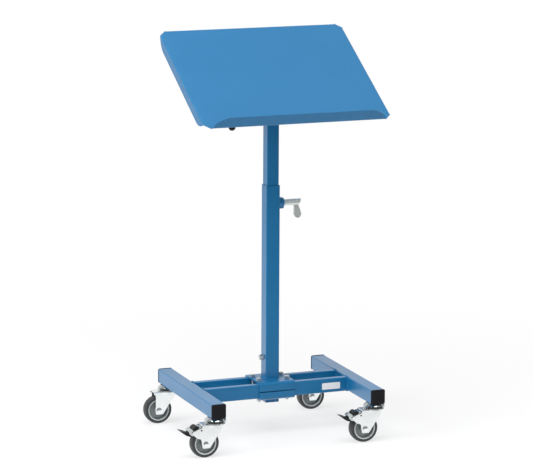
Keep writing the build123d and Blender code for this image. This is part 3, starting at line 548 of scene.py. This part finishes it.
black_moulded = finish(
    "black_moulded_plastic", ((0.010, 0.010, 0.012), (0.014, 0.014, 0.017)), (0.38, 0.52),
    cloud_size=40.0, bump=0.3, grain=(900, 2800, 0.6), glance=(0.1, 0.5),
)
pedal_black = finish(
    "pedal_black", ((0.009, 0.010, 0.010), (0.015, 0.016, 0.016)), (0.34, 0.48),
    cloud_size=60.0, bump=0.3, grain=(800, 2600, 0.5), Specular_IOR_Level=0.2,
)
# The darker grey of the rims is painted shade for their recessed web; the pale flange colour is
# painted on below.
rim_grey = finish(
    "grey_rim_plastic", ((0.24, 0.265, 0.265), (0.21, 0.235, 0.235)), (0.36, 0.48),
    cloud_size=45.0, bump=0.2, grain=(600, 2400, 0.5),
)
tyre_grey = finish(
    "grey_tyre_rubber", ((0.026, 0.030, 0.032), (0.038, 0.042, 0.044)), (0.46, 0.62),
    cloud_size=60.0, bump=0.35, grain=(500, 2200, 0.5), depth=0.0003,
)
pad_brass = finish(
    "turned_brass", ((0.66, 0.45, 0.16), (0.58, 0.39, 0.13)), (0.24, 0.36),
    cloud_size=90.0, bump=0.1, Metallic=1.0,
)
label_white = finish(
    "blank_label", ((0.86, 0.87, 0.88), (0.82, 0.83, 0.85)), (0.26, 0.34),
    cloud_size=30.0, bump=0.04, Coat_Weight=0.5, Coat_Roughness=0.1,
)
tyre_low, tyre_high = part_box("tyre_rear_left")
wheel_y = (tyre_low.y + tyre_high.y) / 2
# Painted light and shade: each rim's outer flange is coloured pale and its recessed web keeps the
# darker grey.
painted_light_flange(rim_grey, (0.60, 0.64, 0.63), wheel_y, (tyre_high.y - tyre_low.y) / 2)
print("finishes", len(bpy.data.materials) - 1)

# %% Give each solid its finish
BY_SLOT = {
    "blue_paint": blue_coat,
    "black_plastic": black_moulded,
    "zinc_steel": bright_zinc,
    "cast_metal": cast_grip,
    "brass": pad_brass,
    "rim_plastic": rim_grey,
    "tyre_rubber": tyre_grey,
}
BY_NAME = {
    # dark ball races: grease, plus painted shade of the gaps around the crown dish
    "ball_races": greasy_steel,
    "clamp_spindle": steel_rod,
    "lever_rod": steel_rod,
}


def finish_of(node, slot):
    """The finish of a solid, by its own name first and then by its material slot."""
    if node.startswith("brake_pedal"):
        return pedal_black
    # the brake lever and leaf get the darker zinc partly as painted shade inside the fork
    if node.startswith(("caster_head", "brake_lever", "brake_leaf")):
        return dark_zinc
    return BY_NAME.get(node, BY_SLOT[slot])


slots = {entry["node"]: entry["material_slot"] for entry in frame["record"]["subparts"]}
for node, solid in frame["nodes"].items():
    solid.data.materials.clear()
    solid.data.materials.append(finish_of(node, slots[node]))
print("dressed", len(slots), "solids")

# %% [markdown]
# ## Tools for Geometry Nodes
# A screw, a thread and a weld all repeat one small shape, so a node tree describes the shape once
# and its named inputs say how large it is and where it goes. Hand-placed copies would each need
# the same edit whenever a size changes.
#
# The tree runs on a start object that only holds points or lines. Its inputs are set by their
# identifiers before anything is evaluated, the result is read back as one plain mesh, and the
# start object with its modifier is thrown away.


# %% Trees and what they make
def shape_tree(name, **inputs):
    """A new Geometry Nodes tree with named inputs, and its two end nodes."""
    tree = bpy.data.node_groups.new(name, "GeometryNodeTree")
    socket(tree, "Geometry", "INPUT", "NodeSocketGeometry")
    for label, kind in inputs.items():
        socket(tree, label.replace("_", " "), "INPUT", "NodeSocket" + kind)
    socket(tree, "Geometry", "OUTPUT", "NodeSocketGeometry")
    return tree, add(tree, "NodeGroupInput"), add(tree, "NodeGroupOutput")


def grown(tree, points, lines=(), **inputs):
    """The plain mesh that a tree makes from points and the lines between them."""
    start_mesh = bpy.data.meshes.new("start")
    start_mesh.from_pydata(points, lines, [])
    start = bpy.data.objects.new("start", start_mesh)
    bpy.context.collection.objects.link(start)
    modifier = start.modifiers.new(tree.name, "NODES")
    modifier.node_group = tree
    for item in tree.interface.items_tree:
        key = item.name.replace(" ", "_")
        if item.in_out == "INPUT" and key in inputs:
            modifier[item.identifier] = inputs[key]
    seen = start.evaluated_get(bpy.context.evaluated_depsgraph_get())
    mesh = bpy.data.meshes.new_from_object(seen)
    start.modifiers.remove(modifier)
    bpy.data.objects.remove(start)
    bpy.data.meshes.remove(start_mesh)
    return mesh


def new_piece(name, mesh, body, stands_for=()):
    """Adds a finished mesh to the stand as one piece of a body."""
    piece = bpy.data.objects.new(name, mesh)
    bpy.context.collection.objects.link(piece)
    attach(piece, body)
    if stands_for:
        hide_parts(*stands_for)
    print(name, "on", body, "with", len(mesh.polygons), "faces")
    return piece


print("tree tools ready")

# %% [markdown]
# ## Screws and nuts
# The bolts of the saddle, the stop screw in the column, the axle bolts of the wheels and the nut
# of the tilt clamp are plain hexagons in CAD. A real head is turned from hexagon bar: the lathe
# takes its corners off at thirty degrees, which leaves a round face with six curved edges. That
# is a prism cut with a cone, and the two node shapes and one boolean below do just that.
#
# The thread is a small diamond swept along a spiral around a thinner core. A picture of stripes
# would be cheaper, but a thread shows at the end of a bolt as an outline, so it has to be there.
# Only the end of each bolt gets one, because the rest of the shank is plain or hidden.


# %% Parts of a screw
FACE_SHARE = 0.475  # radius of a head's round face, as a share of its width over flats


def lifted(tree, shape, height, over=False):
    """A shape moved up by a height, and turned upside down first if asked."""
    moved = add(tree, "GeometryNodeTransform")
    if over:
        moved.inputs["Rotation"].default_value = (math.pi, 0, 0)
    way = add(tree, "ShaderNodeCombineXYZ")
    join(tree, (shape, moved.inputs["Geometry"]), (way.outputs[0], moved.inputs["Translation"]))
    if isinstance(height, (int, float)):
        way.inputs["Z"].default_value = height
    else:
        join(tree, (height, way.inputs["Z"]))
    return moved.outputs[0]


def turned_hexagon(tree, flats, height):
    """A hexagon standing on z = 0 whose upper corners are cut off by a cone."""
    half = calc(tree, "MULTIPLY", height, 0.5)
    prism = add(tree, "GeometryNodeMeshCylinder", Vertices=6)
    cone = add(tree, "GeometryNodeMeshCone", Vertices=48)
    face_radius = calc(tree, "MULTIPLY", flats, FACE_SHARE)
    slope = math.sqrt(3)
    join(
        tree,
        (calc(tree, "MULTIPLY", flats, 1 / slope), prism.inputs["Radius"]),
        (height, prism.inputs["Depth"]),
        (calc(tree, "MULTIPLY_ADD", half, -slope, face_radius), cone.inputs["Radius Top"]),
        (calc(tree, "MULTIPLY_ADD", half, 3 * slope, face_radius), cone.inputs["Radius Bottom"]),
        (calc(tree, "MULTIPLY", height, 2), cone.inputs["Depth"]),
    )
    cut = add(tree, "GeometryNodeMeshBoolean", operation="INTERSECT", solver="EXACT")
    cone_middle = calc(tree, "MULTIPLY", height, -0.5)
    join(
        tree,
        (lifted(tree, prism.outputs["Mesh"], half), cut.inputs["Mesh 2"]),
        (lifted(tree, cone.outputs["Mesh"], cone_middle), cut.inputs["Mesh 2"]),
    )
    return cut.outputs["Mesh"]


def round_bar(tree, radius, low, high):
    """A plain round bar between two heights."""
    bar = add(tree, "GeometryNodeMeshCylinder", Vertices=40)
    length = calc(tree, "SUBTRACT", high, low)
    join(tree, (radius, bar.inputs["Radius"]), (length, bar.inputs["Depth"]))
    middle = calc(tree, "MULTIPLY", calc(tree, "ADD", low, high), 0.5)
    return lifted(tree, bar.outputs["Mesh"], middle)


def thread(tree, radius, pitch, low, run):
    """The ridge of a thread: a diamond swept along a spiral."""
    ridge_radius = calc(tree, "MULTIPLY", pitch, 0.5)
    path_radius = calc(tree, "SUBTRACT", radius, ridge_radius)
    path = add(tree, "GeometryNodeCurveSpiral", Resolution=24)
    upright = add(tree, "GeometryNodeSetCurveNormal", mode="Z_UP")
    diamond = add(tree, "GeometryNodeCurvePrimitiveCircle", Resolution=4)
    ridge = add(tree, "GeometryNodeCurveToMesh")
    ridge.inputs["Fill Caps"].default_value = True
    join(
        tree,
        (calc(tree, "DIVIDE", run, pitch), path.inputs["Rotations"]),
        (path_radius, path.inputs["Start Radius"]),
        (path_radius, path.inputs["End Radius"]),
        (run, path.inputs["Height"]),
        (path.outputs[0], upright.inputs["Curve"]),
        (ridge_radius, diamond.inputs["Radius"]),
        (upright.outputs[0], ridge.inputs["Curve"]),
        (diamond.outputs[0], ridge.inputs["Profile Curve"]),
    )
    return lifted(tree, ridge.outputs[0], low)


def only_if(tree, size, shape):
    """Lets a shape through only where its size is more than nothing."""
    test = add(tree, "FunctionNodeCompare", data_type="FLOAT", operation="GREATER_THAN")
    gate = add(tree, "GeometryNodeSwitch", input_type="GEOMETRY")
    join(
        tree,
        (size, test.inputs["A"]),
        (test.outputs["Result"], gate.inputs["Switch"]),
        (shape, gate.inputs["True"]),
    )
    return gate.outputs["Output"]


def crisp(tree, shape, angle=0.6):
    """Smooth shading, except across edges sharper than an angle."""
    smooth = add(tree, "GeometryNodeSetShadeSmooth")
    sharp = add(tree, "GeometryNodeSetShadeSmooth", domain="EDGE")
    sharp.inputs["Shade Smooth"].default_value = False
    edges = add(tree, "GeometryNodeInputMeshEdgeAngle")
    steep = calc(tree, "GREATER_THAN", edges.outputs["Unsigned Angle"], angle)
    join(
        tree,
        (shape, smooth.inputs["Geometry"]),
        (smooth.outputs[0], sharp.inputs["Geometry"]),
        (steep, sharp.inputs["Selection"]),
    )
    return sharp.outputs[0]


# %% The screw tree
def screw_tree():
    """A screw at each point. Its head stands on the point and its shank runs down from there."""
    tree, into, out = shape_tree(
        "threaded_screw", Flats="Float", Head="Float", Radius="Float", Length="Float",
        Pitch="Float", Thread="Float", Nut_Top="Float", Nut="Float", Sleeve_Radius="Float",
        Sleeve_Top="Float", Sleeve="Float", Turn="Vector", Finish="Material",
    )
    size = into.outputs
    tip = calc(tree, "MULTIPLY", size["Length"], -1)
    core = calc(tree, "MULTIPLY_ADD", size["Pitch"], -0.55, size["Radius"])
    ridge_end = calc(tree, "MULTIPLY_ADD", size["Pitch"], 0.6, tip)
    thread_top = calc(tree, "ADD", tip, size["Thread"])
    run = calc(tree, "MULTIPLY_ADD", size["Pitch"], -1.2, size["Thread"])
    nut_foot = calc(tree, "MULTIPLY", size["Nut Top"], -1)
    sleeve_high = calc(tree, "MULTIPLY", size["Sleeve Top"], -1)
    sleeve_low = calc(tree, "SUBTRACT", sleeve_high, size["Sleeve"])
    nut = lifted(tree, turned_hexagon(tree, size["Flats"], size["Nut"]), nut_foot, over=True)
    sleeve = round_bar(tree, size["Sleeve Radius"], sleeve_low, sleeve_high)
    shapes = (
        only_if(tree, size["Head"], turned_hexagon(tree, size["Flats"], size["Head"])),
        round_bar(tree, size["Radius"], thread_top, calc(tree, "MULTIPLY", size["Head"], 0.5)),
        round_bar(tree, core, tip, thread_top),
        thread(tree, size["Radius"], size["Pitch"], ridge_end, run),
        only_if(tree, size["Nut"], nut),
        only_if(tree, size["Sleeve"], sleeve),
    )
    whole = add(tree, "GeometryNodeJoinGeometry")
    for shape in shapes:
        join(tree, (shape, whole.inputs["Geometry"]))
    placed = add(tree, "GeometryNodeInstanceOnPoints")
    real = add(tree, "GeometryNodeRealizeInstances")
    dressed = add(tree, "GeometryNodeSetMaterial")
    join(
        tree,
        (into.outputs["Geometry"], placed.inputs["Points"]),
        (crisp(tree, whole.outputs[0]), placed.inputs["Instance"]),
        (size["Turn"], placed.inputs["Rotation"]),
        (placed.outputs[0], real.inputs["Geometry"]),
        (real.outputs[0], dressed.inputs["Geometry"]),
        (size["Finish"], dressed.inputs["Material"]),
        (dressed.outputs[0], out.inputs["Geometry"]),
    )
    return tree


screws = screw_tree()
print("screw tree with", len(screws.nodes), "nodes")

# %% Sizes of the screws
M8 = {"Flats": 13 * MM, "Radius": 4 * MM, "Pitch": 1.25 * MM}
M12 = {"Flats": 19 * MM, "Radius": 6 * MM, "Pitch": 1.75 * MM}
HEAD_M8 = 5.3 * MM
NUT_M8 = 6.5 * MM
BOLT_X, BOLT_Y = 42 * MM, 24 * MM
OVER_CHEEKS = 38 * MM
CHEEK = 2.5 * MM
SLEEVE = {
    "Sleeve_Radius": 6 * MM, "Sleeve_Top": CHEEK, "Sleeve": OVER_CHEEKS - 2 * CHEEK,
}
POINT_FRONT = (math.pi / 2, 0, 0)
POINT_LEFT = (0, -math.pi / 2, 0)


def middle(node):
    """The middle of a node's box."""
    low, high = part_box(node)
    return (low + high) / 2


print("hexagons over flats", M8["Flats"], M12["Flats"], "m")

# %% Bolts of the saddle
bolt_low, bolt_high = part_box("saddle_bolts")
nut_low, nut_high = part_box("saddle_nuts")
foot = bolt_high.z - HEAD_M8
bolt_places = [(x, y, foot) for x in (-BOLT_X, BOLT_X) for y in (-BOLT_Y, BOLT_Y)]
new_piece(
    "saddle_screws",
    grown(
        screws, bolt_places, **M8, Head=HEAD_M8, Length=foot - bolt_low.z, Thread=22 * MM,
        Nut_Top=foot - nut_high.z, Nut=nut_high.z - nut_low.z, Finish=bolt_zinc,
    ),
    "carriage", ("saddle_bolts", "saddle_nuts"),
)

# %% Stop screw in the column
screw_low, screw_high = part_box("stop_screw")
nut_low, nut_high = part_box("stop_nut")
screw_middle = middle("stop_screw")
new_piece(
    "stop_screw_set",
    grown(
        screws, [(screw_low.x + HEAD_M8, screw_middle.y, screw_middle.z)], **M8, Head=HEAD_M8,
        Length=screw_high.x - screw_low.x - HEAD_M8, Thread=16 * MM,
        Nut_Top=nut_low.x - screw_low.x - HEAD_M8, Nut=nut_high.x - nut_low.x,
        Turn=POINT_LEFT, Finish=bolt_zinc,
    ),
    "carriage", ("stop_screw", "stop_nut"),
)

# %% Clamp rod of the tilt joint
rod_low, rod_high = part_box("clamp_rod")
nut_low, nut_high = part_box("rod_nut")
rod_middle = middle("clamp_rod")
new_piece(
    "tilt_clamp_rod",
    grown(
        screws, [(rod_low.x, rod_middle.y, rod_middle.z)], **M12,
        Length=rod_high.x - rod_low.x, Thread=24 * MM, Nut_Top=nut_low.x - rod_low.x,
        Nut=nut_high.x - nut_low.x, Turn=POINT_LEFT, Finish=bolt_zinc,
    ),
    "mast", ("clamp_rod", "rod_nut"),
)

# %% Axles of the wheels
for corner in ("front_left", "front_right", "rear_left", "rear_right"):
    axle = f"axle_set_{corner}"
    axle_low, axle_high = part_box(axle)
    head_y = axle_low.y + HEAD_M8
    wheel = middle(axle)
    new_piece(
        f"axle_screw_{corner}",
        grown(
            screws, [(wheel.x, head_y, wheel.z)], **M8, **SLEEVE, Head=HEAD_M8,
            Length=axle_high.y - head_y, Thread=14 * MM, Nut_Top=OVER_CHEEKS, Nut=NUT_M8,
            Turn=POINT_FRONT, Finish=bright_zinc,
        ),
        f"swivel_{corner}", (axle,),
    )

# %% [markdown]
# ## Weld beads
# The crossbars are welded to the rails, the column to its saddle and the mast to its cross
# tube. A weld is a row of small puddles, each frozen over the last, so it looks like a stack of
# flattened drops. Sculpting it would be slow and too regular; a swept tube would be too smooth.
# Here flattened balls are set along a line at short steps, each a little larger or smaller than
# the next, and half of each is sunk in the corner between the two parts.


# %% The weld tree
def weld_tree():
    """Flattened balls set closely along lines, a little uneven in size."""
    tree, into, out = shape_tree(
        "weld_bead", Spacing="Float", Bead_Radius="Float", Flatness="Float", Unevenness="Float",
        Seed="Int", Finish="Material",
    )
    size = into.outputs
    lines = add(tree, "GeometryNodeMeshToCurve")
    spots = add(tree, "GeometryNodeCurveToPoints", mode="LENGTH")
    ball = add(tree, "GeometryNodeMeshUVSphere", Segments=10, Rings=6)
    soft = add(tree, "GeometryNodeSetShadeSmooth")
    chance = add(tree, "FunctionNodeRandomValue", data_type="FLOAT")
    shape = add(tree, "ShaderNodeCombineXYZ")
    placed = add(tree, "GeometryNodeInstanceOnPoints")
    real = add(tree, "GeometryNodeRealizeInstances")
    dressed = add(tree, "GeometryNodeSetMaterial")
    growth = chance.outputs[1]
    join(
        tree,
        (size["Geometry"], lines.inputs["Mesh"]),
        (lines.outputs["Curve"], spots.inputs["Curve"]),
        (size["Spacing"], spots.inputs["Length"]),
        (size["Bead Radius"], ball.inputs["Radius"]),
        (ball.outputs["Mesh"], soft.inputs["Geometry"]),
        (calc(tree, "SUBTRACT", 1.0, size["Unevenness"]), chance.inputs[2]),
        (calc(tree, "ADD", 1.0, size["Unevenness"]), chance.inputs[3]),
        (size["Seed"], chance.inputs["Seed"]),
        (growth, shape.inputs["X"]),
        (growth, shape.inputs["Y"]),
        (calc(tree, "MULTIPLY", growth, size["Flatness"]), shape.inputs["Z"]),
        (spots.outputs["Points"], placed.inputs["Points"]),
        (soft.outputs[0], placed.inputs["Instance"]),
        (spots.outputs["Rotation"], placed.inputs["Rotation"]),
        (shape.outputs[0], placed.inputs["Scale"]),
        (placed.outputs[0], real.inputs["Geometry"]),
        (real.outputs[0], dressed.inputs["Geometry"]),
        (size["Finish"], dressed.inputs["Material"]),
        (dressed.outputs[0], out.inputs["Geometry"]),
    )
    return tree


welds = weld_tree()
print("weld tree with", len(welds.nodes), "nodes")


# %% Paths for the welds
def rounded_rim(width, height, corner, steps=4):
    """Points of a rounded rectangle around the origin, in order."""
    rim = []
    for quarter in range(4):
        side_x = 1 if quarter in (0, 3) else -1
        side_y = 1 if quarter in (0, 1) else -1
        for step in range(steps + 1):
            angle = math.pi / 2 * (quarter + step / steps)
            rim.append((
                side_x * (width / 2 - corner) + corner * math.cos(angle),
                side_y * (height / 2 - corner) + corner * math.sin(angle),
            ))
    return rim


def rings(*loops):
    """Points and lines of several closed loops."""
    points, lines = [], []
    for loop in loops:
        first = len(points)
        points.extend(loop)
        lines.extend((first + i, first + (i + 1) % len(loop)) for i in range(len(loop)))
    return points, lines


def upright_loop(x, centre_y, centre_z, width, height, corner):
    """A rounded rectangle that faces along X."""
    return [(x, centre_y + u, centre_z + v) for u, v in rounded_rim(width, height, corner)]


BEAD = {"Spacing": 1.5 * MM, "Bead_Radius": 2.3 * MM, "Flatness": 0.6, "Unevenness": 0.1}
OFF_WALL = 0.4 * MM
TUBE_CORNER = 3 * MM
COLUMN_CORNER = 4 * MM
print("a bead of", BEAD["Bead_Radius"], "m radius every", BEAD["Spacing"], "m")

# %% Welds between crossbars and rails
bar_loops = []
for bar in ("front_crossbar", "rear_crossbar"):
    low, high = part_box(bar)
    centre = middle(bar)
    width, height = high.y - low.y, high.z - low.z
    for x in (low.x + OFF_WALL, high.x - OFF_WALL):
        bar_loops.append(upright_loop(x, centre.y, centre.z, width, height, TUBE_CORNER))
new_piece(
    "crossbar_welds", grown(welds, *rings(*bar_loops), **BEAD, Seed=3, Finish=blue_coat),
    "base",
)

# %% Welds of the column and its clamp nut
saddle_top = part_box("saddle_upper")[1].z
column_low, column_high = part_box("column")
column_width = column_high.x - column_low.x
column_rim = rounded_rim(column_width, column_width, COLUMN_CORNER)
column_foot = [(x, y, saddle_top + OFF_WALL) for x, y in column_rim]
nut_low, nut_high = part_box("clamp_nut")
nut_middle = middle("clamp_nut")
nut_reach = (nut_high.z - nut_low.z) / math.sqrt(3)
nut_foot = [
    (
        nut_low.x + 0.3 * MM,
        nut_reach * math.cos(math.pi / 3 * i),
        nut_middle.z + nut_reach * math.sin(math.pi / 3 * i),
    )
    for i in range(6)
]
new_piece(
    "column_welds",
    grown(welds, *rings(column_foot, nut_foot), **BEAD, Seed=5, Finish=blue_coat),
    "carriage",
)

# %% Welds of the mast and its cross tube
mast_low, mast_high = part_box("mast_tube")
tube_low, tube_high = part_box("cross_tube")
mast_width = mast_high.x - mast_low.x
tube_width = tube_high.y - tube_low.y
tube_middle = middle("cross_tube")
mast_rim = rounded_rim(mast_width, mast_width, TUBE_CORNER)
mast_top = [(x, y, mast_high.z - 0.3 * MM) for x, y in mast_rim]
tube_ends = [
    upright_loop(x, tube_middle.y, tube_middle.z, tube_width, tube_width, TUBE_CORNER)
    for x in (tube_low.x + OFF_WALL, tube_high.x - OFF_WALL)
]
new_piece(
    "mast_welds", grown(welds, *rings(mast_top, *tube_ends), **BEAD, Seed=8, Finish=blue_coat),
    "mast",
)

# %% Welds under the tray
TRAY_TILT = math.radians(30)
TILT_AXIS = Vector((0, 0, 973 * MM))
UP_SLOPE = Vector((0, math.cos(TRAY_TILT), math.sin(TRAY_TILT)))
OFF_TRAY = Vector((0, -math.sin(TRAY_TILT), math.cos(TRAY_TILT)))
UNDERSIDE = 48 * MM
BRACKET_HALF_LENGTH = 75 * MM
STITCH = 28 * MM
STITCH_PLACE = 33 * MM


def under_tray(across, up_slope):
    """A point on the underside of the tray, by its place along and up the slope."""
    on_slope = TILT_AXIS + UP_SLOPE * up_slope + OFF_TRAY * (UNDERSIDE - OFF_WALL)
    return Vector((across, 0, 0)) + on_slope


stitch_points = []
for end in (-BRACKET_HALF_LENGTH, BRACKET_HALF_LENGTH):
    for centre_x in (-STITCH_PLACE, STITCH_PLACE):
        for half in (-STITCH / 2, STITCH / 2):
            stitch_points.append(under_tray(centre_x + half, end))
stitch_lines = [(i, i + 1) for i in range(0, len(stitch_points), 2)]
new_piece(
    "tray_welds", grown(welds, stitch_points, stitch_lines, **BEAD, Seed=13, Finish=blue_coat),
    "table",
)

# %% [markdown]
# ## The blank label
# The front crossbar carries a small white sticker. Here it stays blank. It is a rounded plate
# two tenths of a millimetre thick, because the clamp saddle slides over it with three tenths to
# spare. A picture mapped on the steel would need no thickness, but it would have no edge either.


# %% Label
def rounded_plate(width, height, corner, depth):
    """Mesh of a rounded rectangle in the XZ plane, its back at y = 0 and its front at -depth."""
    shape = bmesh.new()
    rim = rounded_rim(width, height, corner, 8)
    front = [shape.verts.new((x, -depth, z)) for x, z in rim]
    rear = [shape.verts.new((x, 0, z)) for x, z in rim]
    shape.faces.new(front)
    shape.faces.new(rear[::-1])
    for here in range(len(rim)):
        after = (here + 1) % len(rim)
        shape.faces.new((front[after], front[here], rear[here], rear[after]))
    bmesh.ops.recalc_face_normals(shape, faces=shape.faces)
    mesh = bpy.data.meshes.new("rounded_plate")
    shape.to_mesh(mesh)
    shape.free()
    return mesh


LABEL_SIZE = (55 * MM, 19 * MM)
LABEL_CORNER = 3 * MM
LABEL_THICKNESS = 0.2 * MM
LABEL_FROM_END = 51 * MM
LABEL_DROP = 1.3 * MM
bar_low, bar_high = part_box("front_crossbar")
label_mesh = rounded_plate(*LABEL_SIZE, LABEL_CORNER, LABEL_THICKNESS)
label_mesh.transform(Matrix.Translation((
    bar_high.x - LABEL_FROM_END, bar_low.y, (bar_low.z + bar_high.z) / 2 - LABEL_DROP,
)))
label_mesh.materials.append(label_white)
new_piece("blank_label", label_mesh, "base")

# %% The visual box
low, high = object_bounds()
print("visual box", [round(v, 4) for v in low], [round(v, 4) for v in high])
